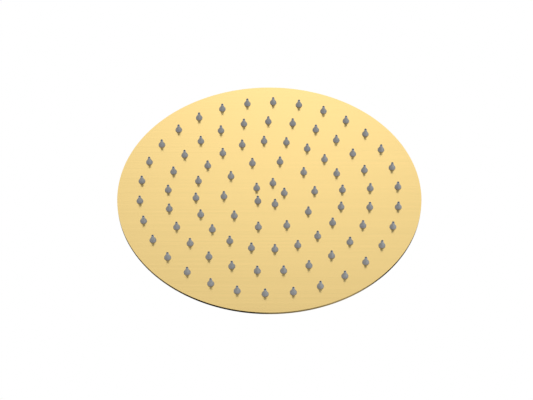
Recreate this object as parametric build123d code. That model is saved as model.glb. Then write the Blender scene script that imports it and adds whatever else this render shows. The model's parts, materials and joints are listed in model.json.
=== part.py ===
"""Round rain shower head: a thin welded stainless shell with pressed-in silicone nozzles on a swivel ball inlet.

Millimetres. +Z is up, as the head hangs: the pipe comes in from above and the nozzles point down.
The origin is on the inlet's axis, where its internal thread starts.
"""

from build123d import *

import os
from math import asin, atan2, cos, hypot, radians, sin, sqrt, tan

# Shell
head_diameter = 250.0
face_thickness = 1.0
back_thickness = 1.0
edge_round = 0.2
seam_width = 7.5           # flat ring where the two sheets are welded together
step_run = 6.0             # the back sheet's step, measured along the radius
step_rise = 3.0
crown_rise = 8.0           # from the seam to the crown, step included
crown_margin = 9.0         # flat of the crown outside the socket's flange
seam_bend = 5.0            # bend radii on the back sheet's outer face
step_bend = 8.0
crown_bend = 90.0

# Spray pattern, counted outwards from the middle
nozzle_counts = (5, 10, 20, 25, 30)
inner_ring_radius = 12.3
second_ring_radius = 37.4
ring_margin = 5.1          # outer ring to the top of the back sheet's step

# Silicone nozzle
nozzle_flange_diameter = 5.6
nozzle_flange_edge = 0.5   # height of the flange's upright edge
nozzle_flange_round = 0.4
nozzle_waist_diameter = 3.6
nozzle_waist_height = 2.4
nozzle_waist_round = 2.0
nozzle_nub_diameter = 2.12
nozzle_nub_height = 3.95   # where the straight nub starts
nozzle_nub_round = 1.2
nozzle_tip_diameter = 2.04
nozzle_tip_round = 0.25
nozzle_height = 5.9
nozzle_neck_diameter = 3.5
nozzle_neck_fit = 0.05
nozzle_barb_diameter = 4.4
nozzle_barb_end_diameter = 3.4
nozzle_barb_height = 1.4
nozzle_bore_diameter = 2.2
orifice_diameter = 1.2
orifice_length = 1.2

# Inlet with its internal pipe thread, drawn as a plain wall at the thread's major diameter
thread_diameter = 20.955
thread_depth = 12.0
thread_lead = 0.8
hex_across_flats = 27.0
hex_chamfer = 1.2
hex_skirt = 2.4            # metal between the washer's seat and the hexagon's underside
relief_depth = 0.4         # thread relief, beyond the thread's major radius
waterway_diameter = 10.0
neck_diameter = 15.0

# Inlet washer and filter
washer_thickness = 2.0
washer_hole_diameter = 12.0
washer_fit = 0.3
filter_thickness = 0.4
filter_hole_diameter = 0.9
filter_hole_pitch = 1.45
filter_rings = 3

# Flow regulator in the waterway
regulator_flange_diameter = 16.0
regulator_flange_thickness = 1.2
regulator_fit = 0.1
regulator_length = 7.0
regulator_wall = 0.9
regulator_floor = 1.2
regulator_core_diameter = 3.0
regulator_slot_count = 8
regulator_slot_diameter = 0.9
o_ring_section = 1.8

# Ball joint
ball_diameter = 22.0
ball_mouth_wall = 0.8
ball_fit = 0.1
tilt_limit = 15.0          # degrees each way
tilt_clearance = 0.3
hex_gap = 0.6              # left between the hexagon and the nut at full tilt
seal_thickness = 1.5
seal_low_angle = 34.0      # degrees from straight down
seal_high_angle = 60.0
seat_fit = 0.1
socket_wall = 2.0
socket_floor = 2.2
socket_hole_diameter = 12.6
socket_foot = 1.2          # spigot below the back sheet's inner face
socket_rise = 0.2          # socket's top above the ball's centre
flange_overhang = 1.6      # flange beyond the nut
flange_thickness = 2.5
flange_round = 1.0
spigot_fit = 0.1
ring_lift = 0.6            # friction ring's underside above the ball's centre
ring_wall = 1.3            # at its thin lower edge
ring_fit = 0.1
nut_wall = 2.8
nut_thread_fit = 0.1
nut_lip = 1.6
nut_gap = 0.4
nut_round = 1.4
nut_flat_depth = 1.3
nut_flat_height = 8.0

# Radii that several pieces share
head_radius = head_diameter / 2
thread_radius = thread_diameter / 2
waterway_radius = waterway_diameter / 2
neck_radius = neck_diameter / 2
ball_radius = ball_diameter / 2
hex_corner_radius = hex_across_flats / sqrt(3)
relief_radius = thread_radius + relief_depth
ring_bore_radius = ball_radius + ball_fit
seat_radius = ring_bore_radius + seal_thickness + seat_fit
socket_radius = seat_radius + socket_wall
nut_radius = socket_radius + nut_thread_fit + nut_wall
flange_radius = nut_radius + flange_overhang
ring_outer_radius = ring_bore_radius + ring_wall
tilt = radians(tilt_limit)

# Heights on the ball joint, from the ball's centre upwards
ring_top = ring_bore_radius * cos(asin((neck_radius + tilt_clearance) / ring_bore_radius) + tilt)
nut_top = ring_top + nut_lip
nut_opening_radius = nut_top * tan(tilt) + neck_radius / cos(tilt) + tilt_clearance
neck_reach = (nut_top + hex_gap + hex_corner_radius * sin(tilt)) / cos(tilt)
ball_mouth_radius = waterway_radius + ball_mouth_wall
ball_bottom = -sqrt(ball_radius**2 - ball_mouth_radius**2)
socket_hole_radius = socket_hole_diameter / 2
socket_bottom = -sqrt(seat_radius**2 - socket_hole_radius**2) - socket_floor
flange_bottom = socket_bottom + socket_foot + back_thickness
flange_top = flange_bottom + flange_thickness
nut_bottom = flange_top + nut_gap

# Heights of the whole, from the origin
washer_seat_z = -thread_depth - washer_fit - washer_thickness - filter_thickness
hex_bottom_z = washer_seat_z - hex_skirt
ball_z = hex_bottom_z - neck_reach
crown_z = ball_z + flange_bottom
seam_z = crown_z - crown_rise
face_inner_z = seam_z - back_thickness
face_z = face_inner_z - face_thickness

# Radii on the shell
chamber_radius = head_radius - seam_width - step_run
outer_ring_radius = chamber_radius - ring_margin
ring_pitch = (outer_ring_radius - second_ring_radius) / (len(nozzle_counts) - 2)
ring_radii = [inner_ring_radius]
for step in range(len(nozzle_counts) - 1):
    ring_radii.append(second_ring_radius + step * ring_pitch)
nozzle_places = [PolarLocations(radius, count) for radius, count in zip(ring_radii, nozzle_counts)]


def turned(*edges):
    """A solid of revolution about Z, from a closed outline of edges in radius and height."""
    return revolve(Plane.XZ * make_face(edges), Axis.Z)


def chain(*points):
    """Straight edges through the points."""
    return Polyline(*points).edges()


def ball_arc(radius, start, end):
    """An arc about the ball's centre, from one height to another, both measured from that centre."""
    begin = atan2(start, sqrt(radius**2 - start**2))
    finish = atan2(end, sqrt(radius**2 - end**2))
    middle = (begin + finish) / 2
    places = [(radius * cos(a), ball_z + radius * sin(a)) for a in (begin, middle, finish)]
    return ThreePointArc(*places)


def on_ball(radius, height):
    """The point at a radius from the axis and a height from the ball's centre."""
    return (radius, ball_z + height)


def offset_line(points, distance):
    """The corners of a line drawn beside another, at a distance to the right of its direction."""
    moved = []
    normals = []
    for (r0, z0), (r1, z1) in zip(points, points[1:]):
        length = hypot(r1 - r0, z1 - z0)
        normals.append(((z1 - z0) / length, (r0 - r1) / length))
    for place, (r, z) in enumerate(points):
        before = normals[max(place - 1, 0)]
        after = normals[min(place, len(normals) - 1)]
        share = distance / (1 + before[0] * after[0] + before[1] * after[1])
        moved.append((r + share * (before[0] + after[0]), z + share * (before[1] + after[1])))
    return moved


def make_face_plate():
    """Flat disc with a punched hole for each nozzle."""
    hole = Circle(nozzle_neck_diameter / 2 + nozzle_neck_fit)
    outline = Circle(head_radius) - [place * hole for ring in nozzle_places for place in ring]
    plate = extrude(Plane.XY.offset(face_z) * outline, face_thickness)
    rim = plate.edges().filter_by(GeomType.CIRCLE).group_by(SortBy.RADIUS)[-1].sort_by(Axis.Z)[0]
    return fillet(rim, edge_round)


def make_back_plate():
    """Pressed dish of one thickness: seam, step, shallow cone and crown, with a hole for the socket."""
    hole_radius = socket_radius + spigot_fit
    crown_radius = flange_radius + crown_margin
    outer = [
        (hole_radius, crown_z),
        (crown_radius, crown_z),
        (chamber_radius, seam_z + step_rise),
        (chamber_radius + step_run, seam_z),
        (head_radius, seam_z),
    ]
    inner = offset_line(outer, back_thickness)
    outer_line = FilletPolyline(*outer, radius=[crown_bend, step_bend, seam_bend])
    inner_bends = [crown_bend - back_thickness, step_bend - back_thickness, seam_bend + back_thickness]
    inner_line = FilletPolyline(*inner, radius=inner_bends)
    ends = [Line(outer[0], inner[0]), Line(outer[-1], inner[-1])]
    plate = turned(*outer_line.edges(), *inner_line.edges(), *ends)
    rim = plate.edges().filter_by(GeomType.CIRCLE).group_by(SortBy.RADIUS)[-1].sort_by(Axis.Z)[-1]
    return fillet(rim, edge_round)


def make_nozzle():
    """One nozzle on the Z axis: flange, cone and nub below the face, neck in the hole, barb inside."""
    flange = nozzle_flange_diameter / 2
    neck = nozzle_neck_diameter / 2
    bore = nozzle_bore_diameter / 2
    orifice = orifice_diameter / 2
    tip_z = face_z - nozzle_height
    barb_z = face_inner_z + nozzle_barb_height
    outside = FilletPolyline(
        (flange, face_z),
        (flange, face_z - nozzle_flange_edge),
        (nozzle_waist_diameter / 2, face_z - nozzle_waist_height),
        (nozzle_nub_diameter / 2, face_z - nozzle_nub_height),
        (nozzle_tip_diameter / 2, tip_z),
        (orifice, tip_z),
        radius=[nozzle_flange_round, nozzle_waist_round, nozzle_nub_round, nozzle_tip_round],
    )
    inside = chain(
        (orifice, tip_z),
        (orifice, tip_z + orifice_length),
        (bore, face_z),
        (bore, barb_z),
        (nozzle_barb_end_diameter / 2, barb_z),
        (nozzle_barb_diameter / 2, face_inner_z),
        (neck, face_inner_z),
        (neck, face_z),
        (flange, face_z),
    )
    return turned(*outside.edges(), *inside)


def make_socket_body():
    """Turned cup welded into the crown: spigot, flange, thread for the nut and a round seat."""
    bowl_low = socket_bottom + socket_floor
    outline = chain(
        on_ball(socket_hole_radius, bowl_low),
        on_ball(socket_hole_radius, socket_bottom),
        on_ball(socket_radius, socket_bottom),
        on_ball(socket_radius, flange_bottom),
        on_ball(flange_radius, flange_bottom),
        on_ball(flange_radius, flange_top - flange_round),
        on_ball(flange_radius - flange_round, flange_top),
        on_ball(socket_radius, flange_top),
        on_ball(socket_radius, socket_rise),
        on_ball(seat_radius, socket_rise),
        on_ball(seat_radius, 0),
    )
    return turned(*outline, ball_arc(seat_radius, 0, bowl_low))


def make_ball_seal():
    """Cup washer between the ball and the socket's seat, round on both faces."""
    inner, outer = ring_bore_radius, ring_bore_radius + seal_thickness
    low, high = radians(seal_low_angle), radians(seal_high_angle)
    ends = []
    for angle in (low, high):
        ends.append(Line(*[on_ball(r * sin(angle), -r * cos(angle)) for r in (inner, outer)]))
    faces = [ball_arc(r, -r * cos(low), -r * cos(high)) for r in (inner, outer)]
    return turned(*faces, *ends)


def make_friction_ring():
    """Ring under the nut's lip that bears on the ball's upper half."""
    top_radius = sqrt(ring_bore_radius**2 - ring_top**2)
    low_radius = sqrt(ring_bore_radius**2 - ring_lift**2)
    outline = chain(
        on_ball(top_radius, ring_top),
        on_ball(ring_outer_radius, ring_top),
        on_ball(ring_outer_radius, ring_lift),
        on_ball(low_radius, ring_lift),
    )
    return turned(*outline, ball_arc(ring_bore_radius, ring_lift, ring_top))


def make_union_nut():
    """Collar that screws over the socket and holds the ball in, with two spanner flats."""
    bore = socket_radius + nut_thread_fit
    recess = ring_outer_radius + ring_fit
    ledge = socket_rise + nut_thread_fit
    outside = FilletPolyline(
        on_ball(nut_radius, nut_bottom),
        on_ball(nut_radius, nut_top),
        on_ball(nut_opening_radius, nut_top),
        radius=[nut_round],
    )
    inside = chain(
        on_ball(nut_opening_radius, nut_top),
        on_ball(nut_opening_radius, ring_top),
        on_ball(recess, ring_top),
        on_ball(recess, ledge),
        on_ball(bore, ledge),
        on_ball(bore, nut_bottom),
        on_ball(nut_radius, nut_bottom),
    )
    nut = turned(*outside.edges(), *inside)
    flat = Box(2 * nut_radius, nut_flat_depth, nut_flat_height, align=(Align.CENTER, Align.MAX, Align.MIN))
    for turn in (0, 180):
        nut -= Rot(0, 0, turn) * Pos(0, nut_radius, ball_z + nut_bottom) * flat
    return nut


def make_ball_inlet():
    """Hexagon, neck and ball in one piece, bored through, with the pipe thread in the hexagon."""
    top_z = thread_lead
    hexagon = extrude(
        Plane.XY.offset(hex_bottom_z) * RegularPolygon(hex_across_flats / 2, 6, major_radius=False),
        top_z - hex_bottom_z,
    )
    corner, trimmed = hex_corner_radius, hex_corner_radius - hex_chamfer
    drop = hex_chamfer / sqrt(3)
    chamfered = turned(*chain(
        (0, hex_bottom_z),
        (trimmed, hex_bottom_z),
        (corner, hex_bottom_z + drop),
        (corner, top_z - drop),
        (trimmed, top_z),
        (0, top_z),
        (0, hex_bottom_z),
    ))
    neck_low = sqrt(ball_radius**2 - neck_radius**2)
    stem = turned(
        *chain(
            on_ball(ball_mouth_radius, ball_bottom),
            on_ball(0, ball_bottom),
            (0, hex_bottom_z + hex_skirt / 2),
            (neck_radius, hex_bottom_z + hex_skirt / 2),
            on_ball(neck_radius, neck_low),
        ),
        ball_arc(ball_radius, ball_bottom, 0),
        ball_arc(ball_radius, 0, neck_low),
    )
    recess = regulator_flange_diameter / 2 + regulator_fit
    recess_z = washer_seat_z - regulator_flange_thickness
    hollow = turned(*chain(
        (0, top_z),
        (thread_radius + thread_lead, top_z),
        (thread_radius, 0),
        (thread_radius, -thread_depth),
        (relief_radius, -thread_depth),
        (relief_radius, washer_seat_z),
        (recess, washer_seat_z),
        (recess, recess_z),
        (waterway_radius, recess_z),
        on_ball(waterway_radius, ball_bottom),
        on_ball(0, ball_bottom),
        (0, top_z),
    ))
    return (hexagon & chamfered) + stem - hollow


def make_inlet_filter():
    """Perforated disc on the washer's seat."""
    hole = Circle(filter_hole_diameter / 2)
    outline = Circle(relief_radius - washer_fit) - hole
    for ring in range(1, filter_rings + 1):
        outline -= [place * hole for place in PolarLocations(ring * filter_hole_pitch, 6 * ring)]
    return extrude(Plane.XY.offset(washer_seat_z) * outline, filter_thickness)


def make_inlet_washer():
    """Flat washer that the pipe's end closes on."""
    outline = Circle(relief_radius - washer_fit) - Circle(washer_hole_diameter / 2)
    return extrude(Plane.XY.offset(washer_seat_z + filter_thickness) * outline, washer_thickness)


def make_flow_regulator():
    """Flanged cup with a middle post, and holes in its floor round the post."""
    barrel = waterway_radius - regulator_fit
    inside = barrel - regulator_wall
    core = regulator_core_diameter / 2
    low_z = washer_seat_z - regulator_length
    flange_z = washer_seat_z - regulator_flange_thickness
    body = turned(*chain(
        (0, low_z),
        (barrel, low_z),
        (barrel, flange_z),
        (regulator_flange_diameter / 2, flange_z),
        (regulator_flange_diameter / 2, washer_seat_z),
        (inside, washer_seat_z),
        (inside, low_z + regulator_floor),
        (core, low_z + regulator_floor),
        (core, washer_seat_z - regulator_flange_thickness),
        (0, washer_seat_z - regulator_flange_thickness),
        (0, low_z),
    ))
    slot = Cylinder(regulator_slot_diameter / 2, regulator_floor, align=(Align.CENTER, Align.CENTER, Align.MIN))
    for place in PolarLocations((core + inside) / 2, regulator_slot_count):
        body -= Pos(0, 0, low_z) * place * slot
    return body


def make_regulator_o_ring():
    """Elastic ring that lies on the regulator's floor, round its post."""
    inside = waterway_radius - regulator_fit - regulator_wall
    core = regulator_core_diameter / 2
    centre_z = washer_seat_z - regulator_length + regulator_floor + o_ring_section / 2
    return Pos(0, 0, centre_z) * Torus((core + inside) / 2, o_ring_section / 2)


nozzle = make_nozzle()
pieces = {
    "face_plate": make_face_plate(),
    "back_plate": make_back_plate(),
    "socket_body": make_socket_body(),
    "ball_seal": make_ball_seal(),
    "friction_ring": make_friction_ring(),
    "union_nut": make_union_nut(),
    "ball_inlet": make_ball_inlet(),
    "inlet_filter": make_inlet_filter(),
    "inlet_washer": make_inlet_washer(),
    "flow_regulator": make_flow_regulator(),
    "regulator_o_ring": make_regulator_o_ring(),
}
for number, ring in enumerate(nozzle_places, start=1):
    pieces[f"nozzles_ring_{number}"] = Compound([place * nozzle for place in ring])

os.makedirs("parts", exist_ok=True)
for name, piece in pieces.items():
    export_step(piece, f"parts/{name}.step")

print("ball centre z", round(ball_z, 4), "crown z", round(crown_z, 4), "face z", round(face_z, 4))
print("ring radii", [round(radius, 3) for radius in ring_radii])
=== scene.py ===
import json
from math import cos, degrees, pi, radians, sin, sqrt, tan

import bmesh
import bpy
from mathutils import Matrix, Vector


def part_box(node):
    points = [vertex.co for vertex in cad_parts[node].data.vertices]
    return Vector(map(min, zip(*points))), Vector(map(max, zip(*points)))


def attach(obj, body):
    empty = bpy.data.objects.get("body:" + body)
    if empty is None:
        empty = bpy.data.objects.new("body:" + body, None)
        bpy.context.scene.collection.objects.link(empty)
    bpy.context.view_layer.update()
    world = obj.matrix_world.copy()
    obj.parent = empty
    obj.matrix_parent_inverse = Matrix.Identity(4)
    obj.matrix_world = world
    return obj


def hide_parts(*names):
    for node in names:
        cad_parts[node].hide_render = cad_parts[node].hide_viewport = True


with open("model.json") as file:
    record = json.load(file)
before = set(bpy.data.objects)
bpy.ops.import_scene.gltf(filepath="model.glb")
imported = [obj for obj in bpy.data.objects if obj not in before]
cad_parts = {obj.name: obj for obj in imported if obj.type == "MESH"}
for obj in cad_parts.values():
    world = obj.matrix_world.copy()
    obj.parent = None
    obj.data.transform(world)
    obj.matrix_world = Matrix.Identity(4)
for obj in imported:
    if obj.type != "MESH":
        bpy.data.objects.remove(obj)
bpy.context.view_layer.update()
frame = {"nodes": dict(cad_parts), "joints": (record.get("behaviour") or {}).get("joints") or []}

mm = 0.001
ballZ = frame["joints"][0]["pos_m"][2] / mm  # the ball's centre, where the swivel and the tilt meet
samePoint = 1e-6        # metres, points this close are one
levelNormal = 0.99999   # a face whose normal has more Z than this is level
uprightNormal = 0.001   # and one with less Z than this is upright
print("frame loaded,", len(frame["nodes"]), "nodes")


# small helpers for node trees

def addNode(tree, kind, inputs=None, **settings):
    node = tree.nodes.new(kind)
    for key, value in settings.items():
        setattr(node, key, value)
    for key, value in (inputs or {}).items():
        if isinstance(value, bpy.types.NodeSocket):
            tree.links.new(value, node.inputs[key])
        else:
            node.inputs[key].default_value = value
    return node


def maths(tree, operation, *values):
    return addNode(tree, "ShaderNodeMath", dict(enumerate(values)), operation=operation).outputs[0]


def vectorMaths(tree, operation, inputs, output=0):
    return addNode(tree, "ShaderNodeVectorMath", inputs, operation=operation).outputs[output]


def mapRange(tree, value, fromLow, fromHigh, toLow, toHigh, kind="LINEAR"):
    inputs = {0: value, 1: fromLow, 2: fromHigh, 3: toLow, 4: toHigh}
    return addNode(tree, "ShaderNodeMapRange", inputs, interpolation_type=kind).outputs[0]


def mix(tree, share, first, second):
    return addNode(tree, "ShaderNodeMix", {0: share, 2: first, 3: second}).outputs[0]


def split(tree, vector):
    return addNode(tree, "ShaderNodeSeparateXYZ", {0: vector}).outputs


def fromAxis(tree, spot):
    flat = vectorMaths(tree, "MULTIPLY", {0: spot, 1: (1, 1, 0)})
    return flat, vectorMaths(tree, "LENGTH", {0: flat}, "Value")


def fillRamp(node, stops):
    ramp = node.color_ramp.elements
    for position, _ in stops[1:-1]:
        ramp.new(position)
    for stop, (position, colour) in zip(ramp, stops):
        stop.position = position
        stop.color = (*colour, 1)


def newGroup(name, kind, inputs, outputs):
    group = bpy.data.node_groups.new(name, kind)
    for socketName, socketType in inputs:
        group.interface.new_socket(socketName, in_out="INPUT", socket_type=socketType)
    for socketName, socketType in outputs:
        group.interface.new_socket(socketName, in_out="OUTPUT", socket_type=socketType)
    return group, addNode(group, "NodeGroupInput").outputs, addNode(group, "NodeGroupOutput").inputs


def endPainted(group, geometry, given, result):
    real = addNode(group, "GeometryNodeRealizeInstances", {"Geometry": geometry}).outputs[0]
    painted = addNode(group, "GeometryNodeSetMaterial", {"Geometry": real, "Material": given["Material"]})
    group.links.new(painted.outputs[0], result["Geometry"])


# turning: an outline of radius and height points, swept round the Z axis

def makeTurnGroup():
    group, given, result = newGroup(
        "turnOutline", "GeometryNodeTree",
        [("Outline", "NodeSocketGeometry"), ("Segments", "NodeSocketInt"),
         ("Sharp Angle", "NodeSocketFloat"), ("Material", "NodeSocketMaterial")],
        [("Geometry", "NodeSocketGeometry")])
    outlineSize = addNode(group, "GeometryNodeAttributeDomainSize", {"Geometry": given["Outline"]})
    count = outlineSize.outputs["Point Count"]
    columns = maths(group, "ADD", given["Segments"], 1)
    grid = addNode(group, "GeometryNodeMeshGrid", {"Vertices X": columns, "Vertices Y": count}).outputs[0]
    index = addNode(group, "GeometryNodeInputIndex").outputs[0]
    along = maths(group, "MODULO", index, count)
    column = maths(group, "FLOOR", maths(group, "DIVIDE", maths(group, "ADD", index, 0.5), count))
    angle = maths(group, "MULTIPLY", maths(group, "DIVIDE", column, given["Segments"]), 2 * pi)
    drawn = addNode(group, "GeometryNodeInputPosition").outputs[0]
    sample = addNode(group, "GeometryNodeSampleIndex", {
        "Geometry": given["Outline"], "Value": drawn, "Index": along},
        data_type="FLOAT_VECTOR", domain="POINT")
    at = split(group, sample.outputs[0])
    across = maths(group, "MULTIPLY", at["X"], maths(group, "COSINE", angle))
    deep = maths(group, "MULTIPLY", at["X"], maths(group, "SINE", angle))
    spot = addNode(group, "ShaderNodeCombineXYZ", {"X": across, "Y": deep, "Z": at["Z"]}).outputs[0]
    swept = addNode(group, "GeometryNodeSetPosition", {"Geometry": grid, "Position": spot}).outputs[0]
    near = {"Geometry": swept, "Distance": samePoint}
    closed = addNode(group, "GeometryNodeMergeByDistance", near).outputs[0]
    bend = addNode(group, "GeometryNodeInputMeshEdgeAngle").outputs[0]
    soft = maths(group, "LESS_THAN", bend, given["Sharp Angle"])
    smooth = addNode(group, "GeometryNodeSetShadeSmooth", {"Geometry": closed}).outputs[0]
    edged = {"Geometry": smooth, "Shade Smooth": soft}
    shaded = addNode(group, "GeometryNodeSetShadeSmooth", edged, domain="EDGE").outputs[0]
    endPainted(group, shaded, given, result)
    return group


def makeRingGroup(turnGroup):
    group, given, result = newGroup(
        "nozzleRing", "GeometryNodeTree",
        [("Outline", "NodeSocketGeometry"), ("Count", "NodeSocketInt"), ("Radius", "NodeSocketFloat"),
         ("Segments", "NodeSocketInt"), ("Sharp Angle", "NodeSocketFloat"), ("Hollow", "NodeSocketFloat"),
         ("Material", "NodeSocketMaterial")],
        [("Geometry", "NodeSocketGeometry")])
    turned = addNode(group, "GeometryNodeGroup", node_tree=turnGroup)
    for name in ("Outline", "Segments", "Sharp Angle", "Material"):
        group.links.new(given[name], turned.inputs[name])
    spot = addNode(group, "GeometryNodeInputPosition").outputs[0]
    # mark the faces inside the outlet, where shade is painted
    inside = maths(group, "LESS_THAN", fromAxis(group, spot)[1], given["Hollow"])
    named = {"Geometry": turned.outputs[0], "Name": "hollow", "Value": inside}
    marked = addNode(group, "GeometryNodeStoreNamedAttribute", named, data_type="FLOAT", domain="FACE")
    circle = addNode(group, "GeometryNodeMeshCircle", {"Vertices": given["Count"], "Radius": given["Radius"]})
    placed = addNode(group, "GeometryNodeInstanceOnPoints",
                     {"Points": circle.outputs[0], "Instance": marked.outputs[0]})
    endPainted(group, placed.outputs[0], given, result)
    return group


def makeThreadGroup():
    group, given, result = newGroup(
        "threadRidge", "GeometryNodeTree",
        [("Section", "NodeSocketGeometry"), ("Turns", "NodeSocketFloat"), ("Radius", "NodeSocketFloat"),
         ("Height", "NodeSocketFloat"), ("Steps", "NodeSocketInt"), ("Material", "NodeSocketMaterial")],
        [("Geometry", "NodeSocketGeometry")])
    spiral = addNode(group, "GeometryNodeCurveSpiral", {
        "Resolution": given["Steps"], "Rotations": given["Turns"], "Start Radius": given["Radius"],
        "End Radius": given["Radius"], "Height": given["Height"]}).outputs[0]
    upright = addNode(group, "GeometryNodeSetCurveNormal", {"Curve": spiral}, mode="Z_UP").outputs[0]
    section = addNode(group, "GeometryNodeMeshToCurve", {"Mesh": given["Section"]}).outputs[0]
    ridge = addNode(group, "GeometryNodeCurveToMesh",
                    {"Curve": upright, "Profile Curve": section, "Fill Caps": True}).outputs[0]
    endPainted(group, ridge, given, result)
    return group


turnGroup = makeTurnGroup()
ringGroup = makeRingGroup(turnGroup)
threadGroup = makeThreadGroup()


# outlines, in millimetres

def rounded(corners, bends, steps=6):
    corners = [Vector(corner) for corner in corners]
    line = [corners[0]]
    for before, here, after, bend in zip(corners, corners[1:], corners[2:], bends):
        if bend == 0:
            line.append(here)
            continue
        back, ahead = (before - here).normalized(), (after - here).normalized()
        half = back.angle(ahead) / 2
        centre = here + (back + ahead).normalized() * (bend / sin(half))
        start = here + back * (bend / tan(half)) - centre
        end = here + ahead * (bend / tan(half)) - centre
        for step in range(steps + 1):
            line.append(centre + start.slerp(end, step / steps) * bend)  # slerp gives a unit vector
    line.append(corners[-1])
    return line


def beside(line, distance):
    moved = []
    for index, point in enumerate(line):
        before, after = line[max(index - 1, 0)], line[min(index + 1, len(line) - 1)]
        run = (after - before).normalized()
        moved.append(point + Vector((run.y, -run.x)) * distance)
    return moved


def ballCurve(radius, lowHeight, highHeight, steps=16):
    line = []
    for step in range(steps + 1):
        height = lowHeight + (highHeight - lowHeight) * step / steps
        line.append(Vector((sqrt(radius**2 - height**2), ballZ + height)))
    return line


def sidePoints(outline):
    return [(r * mm, 0, z * mm) for r, z in outline]


# pieces

def grow(name, points, edges, group, **values):
    mesh = bpy.data.meshes.new(name)
    mesh.from_pydata(points, edges, [])
    piece = bpy.data.objects.new(name, mesh)
    bpy.context.scene.collection.objects.link(piece)
    modifier = piece.modifiers.new(name, "NODES")
    modifier.node_group = group
    sockets = [item for item in group.interface.items_tree if item.in_out == "INPUT"]
    identifiers = {item.name: item.identifier for item in sockets}
    for key, value in values.items():
        modifier[identifiers[key]] = value
    plain = bpy.data.meshes.new_from_object(piece.evaluated_get(bpy.context.evaluated_depsgraph_get()))
    piece.modifiers.clear()
    piece.data = plain
    plain.name = name
    form = bmesh.new()
    form.from_mesh(plain)
    bmesh.ops.recalc_face_normals(form, faces=form.faces)
    form.to_mesh(plain)
    form.free()
    return piece


def turn(name, outline, material, segments=96, sharp=32):
    values = {"Segments": segments, "Sharp Angle": radians(sharp), "Material": material}
    return grow(name, sidePoints(outline), [], turnGroup, **values)


def shadeByAngle(form, sharp):
    for face in form.faces:
        face.smooth = True
    for edge in form.edges:
        level = {abs(face.normal.z) > levelNormal for face in edge.link_faces}
        edge.smooth = edge.calc_face_angle(pi) < radians(sharp) and len(level) == 1  # flats stay flat


def sortByPlace(form):
    for rank, vert in enumerate(sorted(form.verts, key=lambda vert: tuple(vert.co))):
        vert.index = rank
    form.verts.sort()
    for items in (form.edges, form.faces):
        for rank, item in enumerate(sorted(items, key=lambda item: sorted(v.index for v in item.verts))):
            item.index = rank
        items.sort()


def place(name, mesh, material):
    mesh.materials.clear()
    mesh.materials.append(material)
    piece = bpy.data.objects.new(name, mesh)
    bpy.context.scene.collection.objects.link(piece)
    return piece


def solidCopy(name, node, material, sharp):
    mesh = frame["nodes"][node].data.copy()
    mesh.name = name
    custom = mesh.attributes.get("custom_normal")
    if custom:
        mesh.attributes.remove(custom)
    form = bmesh.new()
    form.from_mesh(mesh)
    bmesh.ops.remove_doubles(form, verts=form.verts, dist=2 * samePoint)
    shadeByAngle(form, sharp)
    form.to_mesh(mesh)
    form.free()
    return place(name, mesh, material)


def settle(piece, body, slot, *nodes):
    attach(piece, body)
    if nodes:
        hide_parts(*nodes)
    print("made", piece.name, len(piece.data.polygons), "faces")


def dress(name, node, material, body, slot, sharp=28):
    settle(solidCopy(name, node, material, sharp), body, slot, node)


# the view that the photograph has, in the head's own directions

view = {
    "turn": -31.78,       # degrees about Z, which brings the spray pattern round to where it is seen
    "climb": -47.62,      # degrees: the camera is below the head, looking up at its face
    "distance": 1604.0,
    "lens": 131.69, "sensor": 36.0,
    "frameWidth": 533,
    "centreRight": 2.84,  # pixels from the frame's middle to the face's centre
    "centreUp": 5.88,
}
faceLow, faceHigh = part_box("face_plate")
faceCentre = Vector((0, 0, faceLow.z))
viewTurn, viewClimb = radians(view["turn"]), radians(view["climb"])
rightWay = Vector((-cos(viewTurn), -sin(viewTurn), 0))
awayWay = Vector((-sin(viewTurn), cos(viewTurn), 0))
backWay = -awayWay * cos(viewClimb) + Vector((0, 0, sin(viewClimb)))


# finishes

toneSpan = {"tint": (0.35, 0.65), "rough": (0.3, 0.7)}  # the part of a noise's span that is used
wallSlope = 60.0  # degrees, steeper faces count as walls
streakLayers = {"Fine": {"detail": 2.0, "share": 0.25}, "Coarse": {"detail": 3.0, "share": 0.75}}
grainLayers = {"fineDetail": 4.0, "wideDetail": 2.0, "wideScale": 0.12}


def makeStreakGroup():
    group, given, result = newGroup(
        "brushStreaks", "ShaderNodeTree",
        [("Vector", "NodeSocketVector"), ("Fine", "NodeSocketFloat"), ("Coarse", "NodeSocketFloat")],
        [("Tone", "NodeSocketFloat"), ("Height", "NodeSocketFloat")])
    tones, shares = {}, []
    for name, layer in streakLayers.items():
        scaled = vectorMaths(group, "SCALE", {0: given["Vector"], "Scale": given[name]})
        inputs = {"Vector": scaled, "Scale": 1.0, "Detail": layer["detail"]}
        tones[name] = addNode(group, "ShaderNodeTexNoise", inputs).outputs[0]
        shares.append(maths(group, "MULTIPLY", tones[name], layer["share"]))
    group.links.new(maths(group, "ADD", *shares), result["Tone"])
    group.links.new(tones["Fine"], result["Height"])
    return group


def makeGrainGroup():
    group, given, result = newGroup(
        "mouldGrain", "ShaderNodeTree",
        [("Vector", "NodeSocketVector"), ("Size", "NodeSocketFloat")],
        [("Tone", "NodeSocketFloat"), ("Height", "NodeSocketFloat")])
    wideSize = maths(group, "MULTIPLY", given["Size"], grainLayers["wideScale"])
    fine = addNode(group, "ShaderNodeTexNoise", {
        "Vector": given["Vector"], "Scale": given["Size"], "Detail": grainLayers["fineDetail"]})
    wide = addNode(group, "ShaderNodeTexNoise", {
        "Vector": given["Vector"], "Scale": wideSize, "Detail": grainLayers["wideDetail"]})
    group.links.new(wide.outputs[0], result["Tone"])
    group.links.new(fine.outputs[0], result["Height"])
    return group


streakGroup = makeStreakGroup()
grainGroup = makeGrainGroup()


def newMaterial(name, **sockets):
    material = bpy.data.materials.new(name)
    material.use_nodes = True
    tree = material.node_tree
    shader = tree.nodes["Principled BSDF"]
    for key, value in sockets.items():
        shader.inputs[key].default_value = value
    spot = addNode(tree, "ShaderNodeTexCoord").outputs["Object"]
    return material, tree, shader, spot


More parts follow.
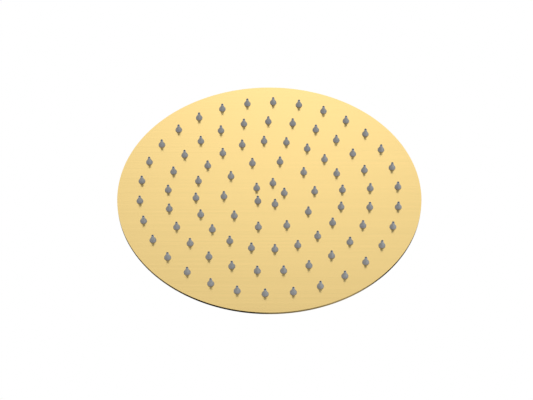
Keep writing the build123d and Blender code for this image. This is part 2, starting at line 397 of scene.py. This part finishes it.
def addStreaks(tree, lines, coarse):
    inputs = {"Vector": lines, "Fine": 1.0, "Coarse": coarse}
    return addNode(tree, "ShaderNodeGroup", inputs, node_tree=streakGroup).outputs


def tint(tree, shader, tone, finish):
    share = mapRange(tree, tone, *toneSpan["tint"], 0, 1)
    colours = {0: share, 6: (*finish["dark"], 1), 7: (*finish["light"], 1)}
    mixed = addNode(tree, "ShaderNodeMix", colours, data_type="RGBA")
    tree.links.new(mixed.outputs[2], shader.inputs["Base Color"])


def roughness(tree, tone, finish):
    return mapRange(tree, tone, *toneSpan["rough"], *finish["rough"])


def bump(tree, shader, height, depth):
    node = addNode(tree, "ShaderNodeBump", {"Height": height, "Distance": depth * mm, "Strength": 1.0})
    tree.links.new(node.outputs[0], shader.inputs["Normal"])


def aroundAxis(tree, spot, finish):
    flat, radius = fromAxis(tree, spot)
    heading = split(tree, vectorMaths(tree, "NORMALIZE", {0: flat}))
    facing = split(tree, addNode(tree, "ShaderNodeTexCoord").outputs["Normal"])
    level = maths(tree, "GREATER_THAN", maths(tree, "ABSOLUTE", facing["Z"]), cos(radians(wallSlope)))
    row = mix(tree, level, split(tree, spot)["Z"], radius)  # walls by height, flats by radius
    return addNode(tree, "ShaderNodeCombineXYZ", {
        "X": maths(tree, "MULTIPLY", heading["X"], finish["turnShare"]),
        "Y": maths(tree, "MULTIPLY", heading["Y"], finish["turnShare"]),
        "Z": maths(tree, "MULTIPLY", row, 1 / (finish["lineWidth"] * mm))}).outputs[0]


edgeFinish = {"start": 124.72, "end": 124.9, "rough": 0.09}  # the trimmed edge is polished, not brushed


def brush(tree, shader, spot, lines, finish):
    streaks = addStreaks(tree, lines, finish["coarse"])
    tint(tree, shader, streaks["Tone"], finish)
    radius = fromAxis(tree, spot)[1]
    edge = mapRange(tree, radius, edgeFinish["start"] * mm, edgeFinish["end"] * mm, 0, 1, "SMOOTHSTEP")
    mixed = mix(tree, edge, roughness(tree, streaks["Tone"], finish), edgeFinish["rough"])
    tree.links.new(mixed, shader.inputs["Roughness"])
    height = maths(tree, "MULTIPLY", streaks["Height"], maths(tree, "SUBTRACT", 1.0, edge))
    bump(tree, shader, height, finish["depth"])


faceFinish = {
    "dark": (0.909, 0.673, 0.2747), "light": (0.966, 0.716, 0.2943),
    "lineWidth": 0.22, "lineLength": 36.0,  # millimetres, one brush line
    "coarse": 0.22, "depth": 0.0022, "rough": (0.17, 0.22),
}


def makeBrushedGold():
    material, tree, shader, spot = newMaterial("brushedGold", Metallic=1.0)
    turned = addNode(tree, "ShaderNodeVectorRotate", {"Vector": spot, "Angle": -viewTurn},
                     rotation_type="Z_AXIS").outputs[0]
    along, across = 1 / (faceFinish["lineLength"] * mm), 1 / (faceFinish["lineWidth"] * mm)
    lines = vectorMaths(tree, "MULTIPLY", {0: turned, 1: (along, across, across)})
    brush(tree, shader, spot, lines, faceFinish)
    return material


backFinish = {
    "dark": (0.86, 0.63, 0.25), "light": (0.93, 0.69, 0.28), "anisotropy": 0.55,
    "lineWidth": 0.3, "turnShare": 3.0, "coarse": 0.2,
    "depth": 0.002, "rough": (0.2, 0.28),
}


def makeSpunGold():
    material, tree, shader, spot = newMaterial(
        "spunGold", Metallic=1.0, Anisotropic=backFinish["anisotropy"])
    brush(tree, shader, spot, aroundAxis(tree, spot, backFinish), backFinish)
    return material


brassFinish = {
    "dark": (0.85, 0.62, 0.245), "light": (0.93, 0.69, 0.28), "anisotropy": 0.3,
    "lineWidth": 0.16, "turnShare": 6.0, "coarse": 0.2,
    "depth": 0.0006, "rough": (0.11, 0.19),
}


def makePolishedGold():
    material, tree, shader, spot = newMaterial(
        "polishedGold", Metallic=1.0, Anisotropic=brassFinish["anisotropy"])
    streaks = addStreaks(tree, aroundAxis(tree, spot, brassFinish), brassFinish["coarse"])
    tint(tree, shader, streaks["Tone"], brassFinish)
    tree.links.new(roughness(tree, streaks["Tone"], brassFinish), shader.inputs["Roughness"])
    bump(tree, shader, streaks["Height"], brassFinish["depth"])
    return material


def makeMoulded(name, finish, **sockets):
    material, tree, shader, spot = newMaterial(name, **sockets)
    inputs = {"Vector": spot, "Size": finish["grain"]}
    grain = addNode(tree, "ShaderNodeGroup", inputs, node_tree=grainGroup).outputs
    tint(tree, shader, grain["Tone"], finish)
    tree.links.new(roughness(tree, grain["Height"], finish), shader.inputs["Roughness"])
    bump(tree, shader, grain["Height"], finish["depth"])
    return material


spoutFinish = {
    "dark": (0.25, 0.286, 0.342), "light": (0.286, 0.322, 0.384),
    "grain": 3000, "depth": 0.006, "rough": (0.42, 0.56),
    "rootShade": (  # millimetres from the face: painted shade, roots next to the gold face darker and warmer than tips
        (0.7, (0.83, 0.73, 0.655)), (2.6, (0.945, 0.865, 0.735)),
        (3.9, (0.98, 0.885, 0.775)), (5.4, (1.0, 1.0, 1.0))),
    "hollow": 0.65,  # share of the colour that is left inside the outlet: painted shade in the bore
}


def makeGreySilicone():
    material = makeMoulded("greySilicone", spoutFinish)
    tree = material.node_tree
    base = tree.nodes["Principled BSDF"].inputs["Base Color"]
    height = split(tree, tree.nodes["Texture Coordinate"].outputs["Object"])["Z"]
    reach = spoutFinish["rootShade"][-1][0]
    # painted shade: the spout's colour darkens and warms towards the gold face
    drop = mapRange(tree, height, faceLow.z, faceLow.z - reach * mm, 0, 1)
    rootShadeRamp = addNode(tree, "ShaderNodeValToRGB", {0: drop})
    fillRamp(rootShadeRamp, [(away / reach, colour) for away, colour in spoutFinish["rootShade"]])
    shaded = vectorMaths(tree, "MULTIPLY", {0: base.links[0].from_socket, 1: rootShadeRamp.outputs[0]})
    # painted shade inside the outlet
    hollow = addNode(tree, "ShaderNodeAttribute", attribute_name="hollow").outputs["Fac"]
    left = mapRange(tree, hollow, 0, 1, 1, spoutFinish["hollow"])
    tree.links.new(vectorMaths(tree, "SCALE", {0: shaded, "Scale": left}), base)
    return material


innerFinishes = {
    "whitePlastic": {"dark": (0.76, 0.76, 0.73), "light": (0.82, 0.82, 0.8),
                     "grain": 1800, "depth": 0.008, "rough": (0.4, 0.5)},
    "blackRubber": {"dark": (0.018, 0.018, 0.019), "light": (0.03, 0.03, 0.03),
                    "grain": 2400, "depth": 0.012, "rough": (0.55, 0.7)},
    "greenPlastic": {"dark": (0.03, 0.15, 0.07), "light": (0.04, 0.19, 0.09),
                     "grain": 2000, "depth": 0.006, "rough": (0.35, 0.45)},
    "filterSteel": {"dark": (0.52, 0.52, 0.5), "light": (0.62, 0.62, 0.6),
                    "grain": 2600, "depth": 0.004, "rough": (0.25, 0.35)},
}
brushedGold = makeBrushedGold()
spunGold = makeSpunGold()
polishedGold = makePolishedGold()
greySilicone = makeGreySilicone()
whitePlastic = makeMoulded("whitePlastic", innerFinishes["whitePlastic"])
blackRubber = makeMoulded("blackRubber", innerFinishes["blackRubber"])
greenPlastic = makeMoulded("greenPlastic", innerFinishes["greenPlastic"])
filterSteel = makeMoulded("filterSteel", innerFinishes["filterSteel"], Metallic=1.0)
print("finishes made")


# the shell: flat face and pressed back

nozzle = {
    "flange": 2.8, "flangeEdge": 0.5, "flangeRound": 0.4,
    "waist": 1.8, "waistHeight": 2.4, "waistRound": 2.0,
    "nub": 1.06, "nubHeight": 3.95, "nubRound": 1.2,
    "tip": 1.02, "tipRound": 0.25, "height": 5.9,
    "neck": 1.75, "barb": 2.2, "barbEnd": 1.7, "barbHeight": 1.4,
    "bore": 1.1, "orifice": 0.6, "orificeLength": 1.2, "hollowShare": 0.7,
    "hole": 1.8, "counts": (5, 10, 20, 25, 30),
    "segments": 28, "roundSteps": 5, "sharp": 40,
}
nozzleRings = []
for number, count in enumerate(nozzle["counts"], start=1):
    node = f"nozzles_ring_{number}"
    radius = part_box(node)[1].x / mm - nozzle["flange"]  # each ring has a nozzle on +X
    nozzleRings.append((node, count, radius))

rim = {
    "steps": 360, "round": 0.05, "roundSteps": 3, "sharp": 30,
    "outside": 0.9999,  # share of the radius beyond which a corner is on the rim
}


def makeFacePlate():
    form = bmesh.new()
    bmesh.ops.create_circle(form, radius=faceHigh.x, segments=rim["steps"])
    for _, count, radius in nozzleRings:
        for step in range(count):
            spot = Matrix.Rotation(2 * pi * step / count, 4, "Z") @ Matrix.Translation((radius * mm, 0, 0))
            bmesh.ops.create_circle(form, radius=nozzle["hole"] * mm, segments=nozzle["segments"],
                                    matrix=spot)
    bmesh.ops.translate(form, verts=form.verts, vec=(0, 0, faceLow.z))
    bmesh.ops.triangle_fill(form, edges=form.edges[:], use_beauty=True)
    grown = bmesh.ops.extrude_face_region(form, geom=form.faces[:])["geom"]
    raised = [item for item in grown if isinstance(item, bmesh.types.BMVert)]
    bmesh.ops.translate(form, verts=raised, vec=(0, 0, faceHigh.z - faceLow.z))
    outside, bottom = faceHigh.x * rim["outside"], faceLow.z + samePoint
    corner = []
    for edge in form.edges:
        if all(v.co.xy.length > outside and v.co.z < bottom for v in edge.verts):
            corner.append(edge)
    bmesh.ops.bevel(form, geom=corner, offset=rim["round"] * mm, segments=rim["roundSteps"],
                    affect="EDGES", profile=0.5)
    bmesh.ops.recalc_face_normals(form, faces=form.faces)
    shadeByAngle(form, rim["sharp"])
    for edge in form.edges:
        upright = {abs(face.normal.z) < uprightNormal for face in edge.link_faces}
        edge.smooth = edge.smooth and len(upright) == 1  # the rim mirrors as a true cylinder
    sortByPlace(form)  # a bevel's own order differs from run to run
    mesh = bpy.data.meshes.new("facePlate")
    form.to_mesh(mesh)
    print("face plate's open edges:", sum(not edge.is_manifold for edge in form.edges))
    form.free()
    return place("facePlate", mesh, brushedGold)


settle(makeFacePlate(), "head", "brushed_gold", "face_plate")

backShell = {
    "hole": 14.8, "crown": 28.2, "step": 111.5, "seam": 117.5, "sheet": 1.0, "stepRise": 3.0,
    "crownBend": 90.0, "stepBend": 8.0, "seamBend": 5.0, "bendSteps": 10,
}


def makeBackPlate():
    low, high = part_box("back_plate")
    crownZ, underZ, edge = high.z / mm, low.z / mm, high.x / mm
    seamZ = underZ + backShell["sheet"]
    line = [(backShell["hole"], crownZ), (backShell["crown"], crownZ),
            (backShell["step"], seamZ + backShell["stepRise"]), (backShell["seam"], seamZ), (edge, seamZ)]
    bends = [backShell["crownBend"], backShell["stepBend"], backShell["seamBend"]]
    upper = rounded(line + [(edge, underZ)], bends + [rim["round"]], backShell["bendSteps"])
    under = beside(rounded(line, bends, backShell["bendSteps"]), backShell["sheet"])
    return turn("backPlate", upper + under[::-1] + upper[:1], spunGold, rim["steps"])


settle(makeBackPlate(), "head", "satin_gold", "back_plate")


# silicone nozzles, one shape set out in rings

def nozzleOutline():
    faceZ, innerZ = faceLow.z / mm, faceHigh.z / mm
    tipZ = faceZ - nozzle["height"]
    outside = rounded(
        [(nozzle["neck"], faceZ), (nozzle["flange"], faceZ), (nozzle["flange"], faceZ - nozzle["flangeEdge"]),
         (nozzle["waist"], faceZ - nozzle["waistHeight"]), (nozzle["nub"], faceZ - nozzle["nubHeight"]),
         (nozzle["tip"], tipZ), (nozzle["orifice"], tipZ)],
        [0, nozzle["flangeRound"], nozzle["waistRound"], nozzle["nubRound"], nozzle["tipRound"]],
        nozzle["roundSteps"])
    inside = [
        (nozzle["orifice"], tipZ + nozzle["orificeLength"]), (nozzle["bore"], faceZ),
        (nozzle["bore"], innerZ + nozzle["barbHeight"]), (nozzle["barbEnd"], innerZ + nozzle["barbHeight"]),
        (nozzle["barb"], innerZ), (nozzle["neck"], innerZ)]
    return outside + [Vector(point) for point in inside] + outside[:1]


nozzlePoints = sidePoints(nozzleOutline())
for number, (node, count, radius) in enumerate(nozzleRings, start=1):
    ring = grow(f"nozzleRing{number}", nozzlePoints, [], ringGroup, **{
        "Count": count, "Radius": radius * mm, "Segments": nozzle["segments"],
        "Sharp Angle": radians(nozzle["sharp"]), "Hollow": nozzle["bore"] * mm * nozzle["hollowShare"],
        "Material": greySilicone})
    settle(ring, "head", "grey_silicone", node)


# ball joint

socket = {
    "hole": 6.3, "outer": 14.7, "seat": 12.7, "flange": 19.2, "rise": 0.2, "floor": 2.2,
    "foot": 1.2, "sheet": 1.0, "flangeThick": 2.5, "flangeRound": 1.0, "edgeRound": 0.3,
}


def makeSocketBody():
    bowl = -sqrt(socket["seat"]**2 - socket["hole"]**2)
    bottom = bowl - socket["floor"]
    seatZ = bottom + socket["foot"] + socket["sheet"]
    topZ = seatZ + socket["flangeThick"]
    corners = [
        (socket["hole"], bowl), (socket["hole"], bottom), (socket["outer"], bottom), (socket["outer"], seatZ),
        (socket["flange"], seatZ), (socket["flange"], topZ), (socket["outer"], topZ),
        (socket["outer"], socket["rise"]), (socket["seat"], socket["rise"]), (socket["seat"], 0)]
    bends = [0, socket["edgeRound"], 0, 0, socket["flangeRound"], 0, socket["edgeRound"], 0]
    outside = rounded([(r, ballZ + z) for r, z in corners], bends)
    return turn("socketBody", outside + ballCurve(socket["seat"], 0, bowl), polishedGold)


settle(makeSocketBody(), "head", "gold_brass", "socket_body")
dress("unionNut", "union_nut", polishedGold, "head", "gold_brass")
dress("frictionRing", "friction_ring", whitePlastic, "head", "white_plastic")
dress("ballSeal", "ball_seal", blackRubber, "seal", "black_rubber")


# inlet and what it holds

dress("ballInlet", "ball_inlet", polishedGold, "inlet", "gold_brass", sharp=24)
dress("inletWasher", "inlet_washer", blackRubber, "inlet", "black_rubber")
dress("inletFilter", "inlet_filter", filterSteel, "inlet", "filter_steel")
dress("flowRegulator", "flow_regulator", greenPlastic, "inlet", "regulator_plastic")
dress("regulatorORing", "regulator_o_ring", blackRubber, "inlet", "black_rubber")

pipeThread = {
    "major": 10.4775, "minor": 9.32, "pitch": 1.814, "depth": 12.0,
    "sink": 0.04, "crest": 0.3, "root": 1.5, "steps": 48,
}


def makeThread():
    height = pipeThread["depth"] - pipeThread["pitch"]
    turns = height / pipeThread["pitch"]
    reach = pipeThread["major"] - pipeThread["minor"]
    section = [(pipeThread["sink"], -pipeThread["root"] / 2), (-reach, -pipeThread["crest"] / 2),
               (-reach, pipeThread["crest"] / 2), (pipeThread["sink"], pipeThread["root"] / 2)]
    points = [(x * mm, y * mm, 0) for x, y in section]
    piece = grow("inletThread", points, [(0, 1), (1, 2), (2, 3), (3, 0)], threadGroup, **{
        "Turns": turns, "Radius": pipeThread["major"] * mm, "Height": height * mm,
        "Steps": pipeThread["steps"], "Material": polishedGold})
    piece.data.transform(Matrix.Translation((0, 0, (-pipeThread["depth"] + pipeThread["pitch"] / 2) * mm)))
    return piece


settle(makeThread(), "inlet", "gold_brass")


# floor, light and camera

stage = {
    "floorDrop": 2100.0, "floorRadius": 1300.0, "floorSteps": 96,
    "floorTone": 0.82, "floorRough": 0.9, "floorGlow": 0.5,
}


def makeFloor():
    mesh = bpy.data.meshes.new("floor")
    form = bmesh.new()
    bmesh.ops.create_circle(form, cap_ends=True, radius=stage["floorRadius"] * mm,
                            segments=stage["floorSteps"])
    bmesh.ops.translate(form, verts=form.verts, vec=(0, 0, -stage["floorDrop"] * mm))
    form.to_mesh(mesh)
    form.free()
    floor = bpy.data.objects.new("floor", mesh)
    bpy.context.scene.collection.objects.link(floor)
    material = bpy.data.materials.new("paleFloor")
    material.use_nodes = True
    tree = material.node_tree
    shader = tree.nodes["Principled BSDF"]
    shader.inputs["Base Color"].default_value = (*[stage["floorTone"]] * 3, 1)
    shader.inputs["Roughness"].default_value = stage["floorRough"]
    ray = addNode(tree, "ShaderNodeLightPath").outputs
    seen = maths(tree, "MAXIMUM", ray["Is Camera Ray"], ray["Is Transmission Ray"])
    shown = maths(tree, "MAXIMUM", seen, ray["Is Glossy Ray"])
    strength = maths(tree, "MAXIMUM", seen, stage["floorGlow"])
    glow = addNode(tree, "ShaderNodeEmission", {"Strength": strength}).outputs[0]
    mixed = addNode(tree, "ShaderNodeMixShader", {0: shown, 1: shader.outputs[0], 2: glow}).outputs[0]
    tree.links.new(mixed, tree.nodes["Material Output"].inputs["Surface"])
    mesh.materials.append(material)


makeFloor()

studio = {
    "ambient": 0.8,
    "panelMiddle": -47.6, "panelReach": 30.0,      # degrees of climb
    "panelLevel": 1.072, "panelSlope": 0.0685,     # level in the middle, level per degree
    "panelLow": 0.45, "panelHigh": 1.6, "panelAside": 1.2, "panelSpread": 8.1, "sides": 0.7,
    "panelEnd": (-24.0, -8.0),                     # degrees of climb where the room takes over
    "horizon": 0.5, "horizonSwing": 0.34,          # upright light strips
    "horizonTurns": 3.0, "horizonStart": 40.0,
    "open": 0.92, "openClimb": (-4.0, 24.0),
    "flagClimb": (42.0, 45.5, 57.0, 62.0),
    "flagLevels": (                                # degrees round from the near side, level
        (-172, 0.92), (-164, 0.3), (-150, 0.04), (-135, 0.02), (-117, 0.04), (-88, 0.08), (-72, 0.04),
        (-58, 0.0), (-9, 0.0), (-5, 0.06), (1, 0.18), (36, 0.21), (48, 0.29), (68, 0.3), (85, 0.16),
        (96, 0.01), (102, 0.0), (128, 0.0), (140, 0.08), (154, 0.32), (168, 0.92)),
}


def makeWorld():
    world = bpy.data.worlds.new("studio")
    world.use_nodes = True
    bpy.context.scene.world = world
    tree = world.node_tree
    tree.nodes.clear()
    way = addNode(tree, "ShaderNodeTexCoord").outputs["Generated"]

    def part(direction):
        return vectorMaths(tree, "DOT_PRODUCT", {0: way, 1: direction}, "Value")

    def inDegrees(angle):
        return maths(tree, "MULTIPLY", angle, degrees(1))

    right, away, up = part(rightWay), part(awayWay), part((0, 0, 1))
    climb = inDegrees(maths(tree, "ARCSINE", up))
    farTurn = inDegrees(maths(tree, "ARCTAN2", right, away))
    nearTurn = inDegrees(maths(tree, "ARCTAN2", right, maths(tree, "MULTIPLY", away, -1.0)))
    # a soft panel low behind the head, which its face mirrors
    reach = studio["panelReach"]
    swing = reach * studio["panelSlope"]
    panel = mapRange(tree, climb, studio["panelMiddle"] - reach, studio["panelMiddle"] + reach,
                     studio["panelLevel"] - swing, studio["panelLevel"] + swing)
    panel = maths(tree, "MINIMUM", maths(tree, "MAXIMUM", panel, studio["panelLow"]), studio["panelHigh"])
    off = maths(tree, "DIVIDE", maths(tree, "SUBTRACT", farTurn, studio["panelAside"]), studio["panelSpread"])
    bell = maths(tree, "EXPONENT", maths(tree, "MULTIPLY", maths(tree, "MULTIPLY", off, off), -0.5))
    lift = maths(tree, "SUBTRACT", panel, studio["sides"])
    below = maths(tree, "MULTIPLY_ADD", lift, bell, studio["sides"])
    # the open room above, with dark flags on the near side that the rim mirrors
    flags = addNode(tree, "ShaderNodeValToRGB", {0: mapRange(tree, nearTurn, -180, 180, 0, 1)})
    fillRamp(flags, [(around / 360 + 0.5, (level,) * 3) for around, level in studio["flagLevels"]])
    lowStart, lowEnd, highStart, highEnd = studio["flagClimb"]
    rise = mapRange(tree, climb, lowStart, lowEnd, 0, 1, "SMOOTHSTEP")
    fall = mapRange(tree, climb, highStart, highEnd, 1, 0, "SMOOTHSTEP")
    turns, start = radians(studio["horizonTurns"]), radians(studio["horizonStart"])
    strips = maths(tree, "SINE", maths(tree, "MULTIPLY_ADD", nearTurn, turns, start))
    horizon = maths(tree, "MULTIPLY_ADD", strips, studio["horizonSwing"], studio["horizon"])
    room = mapRange(tree, climb, *studio["openClimb"], horizon, studio["open"], "SMOOTHSTEP")
    above = mix(tree, maths(tree, "MULTIPLY", rise, fall), room, flags.outputs[0])
    lowHalf = mapRange(tree, climb, *studio["panelEnd"], 1, 0, "SMOOTHSTEP")
    mirrored = maths(tree, "MULTIPLY_ADD", maths(tree, "SUBTRACT", below, above), lowHalf, above)
    ray = addNode(tree, "ShaderNodeLightPath").outputs
    white = maths(tree, "MAXIMUM", ray["Is Camera Ray"], ray["Is Transmission Ray"])
    level = mix(tree, white, mix(tree, ray["Is Glossy Ray"], studio["ambient"], mirrored), 1.0)
    back = addNode(tree, "ShaderNodeBackground", {"Color": (1, 1, 1, 1), "Strength": level}).outputs[0]
    addNode(tree, "ShaderNodeOutputWorld", {"Surface": back})


makeWorld()

lampColour = (0.88, 0.95, 1.0)
lamps = (  # millimetres from the inlet, watts
    {"name": "rightLamp", "right": 1300, "away": -250, "up": -350, "size": 600, "power": 9.2},
    {"name": "leftLamp", "right": -1300, "away": -250, "up": -350, "size": 600, "power": 2.8},
    {"name": "topLamp", "right": 500, "away": 700, "up": 1100, "size": 800, "power": 5.0},
    {"name": "nearLamp", "right": 0, "away": -1500, "up": -350, "size": 600, "power": 4.0},
)
for lamp in lamps:
    light = bpy.data.lights.new(lamp["name"], "AREA")
    light.energy = lamp["power"]
    light.size = lamp["size"] * mm
    light.color = lampColour
    holder = bpy.data.objects.new(lamp["name"], light)
    holder.location = (rightWay * lamp["right"] + awayWay * lamp["away"] + Vector((0, 0, lamp["up"]))) * mm
    holder.rotation_euler = (faceCentre - holder.location).to_track_quat("-Z", "Y").to_euler()
    holder.visible_glossy = False  # the metal mirrors the world alone
    bpy.context.scene.collection.objects.link(holder)

lens = bpy.data.cameras.new("camera")
lens.lens = view["lens"]
lens.sensor_width = view["sensor"]
lens.shift_x = -view["centreRight"] / view["frameWidth"]
lens.shift_y = -view["centreUp"] / view["frameWidth"]
camera = bpy.data.objects.new("camera", lens)
upWay = backWay.cross(rightWay)
stand = faceCentre + backWay * view["distance"] * mm
camera.matrix_world = Matrix.Translation(stand) @ Matrix((rightWay, upWay, backWay)).transposed().to_4x4()
bpy.context.scene.collection.objects.link(camera)
bpy.context.scene.camera = camera
bpy.context.scene.view_settings.view_transform = "Standard"
print("stage, light and camera set")
